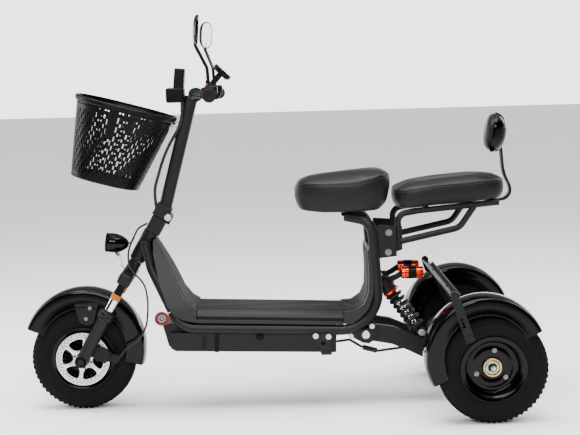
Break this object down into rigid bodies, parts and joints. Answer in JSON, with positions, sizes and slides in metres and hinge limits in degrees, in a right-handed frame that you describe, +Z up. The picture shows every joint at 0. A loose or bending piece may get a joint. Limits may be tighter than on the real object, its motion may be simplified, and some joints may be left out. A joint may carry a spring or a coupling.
{
  "type": "electric trike",
  "caption": "Folding three-wheeled electric scooter with step-through frame, saddle and rear seat, slotted front basket, sprung fork, coil-over rear shocks and glossy fenders",
  "frame": {"origin": "on the ground below the middle of the bounding box", "axes": "X forward, Y left, Z up"},
  "size_m": [1.5139, 0.6906, 1.1624],
  "materials": {
    "tyre": "black rubber tyre",
    "rim": "gloss black painted steel rim",
    "disc": "ground steel brake disc",
    "axle": "zinc plated steel",
    "fork_upper": "black crown, chrome stanchions, orange seal rings",
    "fork_lower": "satin black fork leg",
    "fender": "gloss black moulded fender",
    "caliper": "black cast caliper",
    "frame": "satin charcoal powder coat",
    "handlebar": "black tube",
    "grip": "ribbed rubber grip",
    "control": "black controls",
    "mirror": "black mirror shell with mirror glass",
    "basket": "black moulded basket with slots",
    "headlight": "black lamp shell with clear lens",
    "lamp_bracket": "bright steel bracket",
    "deck": "ribbed charcoal plastic",
    "battery": "satin charcoal housing",
    "horn": "bright horn body with red ring",
    "saddle": "black synthetic leather, grey stitching",
    "backrest": "gloss black shell on a black flat bar",
    "shock": "black damper with red anodised reservoir",
    "spring": "black coil spring",
    "drive": "black motor and reduction case",
    "cable": "black sheathed cable"
  },
  "bodies": {
    "chassis": {"rear_axle": "axle", "pivot_bolt": "axle", "rear_fender_left": "fender", "rear_fender_right": "fender", "head_tube": "frame", "frame_left": "frame", "frame_right": "frame", "rack": "frame", "swing_arm": "frame", "fender_bridge": "frame", "foot_bracket": "frame", "deck_floor": "deck", "deck_front": "deck", "deck_rear": "deck", "battery_box": "battery", "horn": "horn", "saddle": "saddle", "rear_seat": "saddle", "backrest_pad": "saddle", "backrest_frame": "backrest", "shock_left": "shock", "shock_right": "shock", "spring_left": "spring", "spring_right": "spring", "drive_unit": "drive", "rear_cable": "cable"},
    "fork": {"fork_upper": "fork_upper", "fork_lower_left": "fork_lower", "fork_lower_right": "fork_lower", "front_fender": "fender", "front_axle": "axle", "brake_caliper": "caliper", "headlight": "headlight", "headlight_bracket": "lamp_bracket", "hinge_base": "frame", "brake_hose": "cable", "lamp_wire": "cable"},
    "stem": {"stem": "frame", "handlebar": "handlebar", "grip_left": "grip", "grip_right": "grip", "control_left": "control", "control_right": "control", "mirror_left": "mirror", "mirror_right": "mirror", "holder": "control", "display": "control", "basket": "basket", "basket_bracket": "frame", "stem_harness": "cable"},
    "front_wheel": {"front_tyre": "tyre", "front_rim": "rim", "brake_disc": "disc"},
    "rear_wheel_left": {"rear_tyre_left": "tyre", "rear_rim_left": "rim"},
    "rear_wheel_right": {"rear_tyre_right": "tyre", "rear_rim_right": "rim"}
  },
  "joints": [
    {"name": "steering", "type": "hinge", "parent": "chassis", "child": "fork", "pos_m": [0.397, 0, 0.49082], "axis": [-0.5, 0, 0.866], "range_deg": [-35, 35]},
    {"name": "stem_fold", "type": "hinge", "parent": "fork", "child": "stem", "pos_m": [0.32022, 0, 0.57581], "axis": [0, -1, 0], "range_deg": [0, 34]},
    {"name": "front_wheel_spin", "type": "hinge", "parent": "fork", "child": "front_wheel", "pos_m": [0.5895, 0, 0.1574], "axis": [0, 1, 0], "continuous": true},
    {"name": "rear_wheel_left_spin", "type": "hinge", "parent": "chassis", "child": "rear_wheel_left", "pos_m": [-0.5995, 0.283, 0.1574], "axis": [0, 1, 0], "continuous": true},
    {"name": "rear_wheel_right_spin", "type": "hinge", "parent": "chassis", "child": "rear_wheel_right", "pos_m": [-0.5995, -0.283, 0.1574], "axis": [0, 1, 0], "continuous": true}
  ]
}
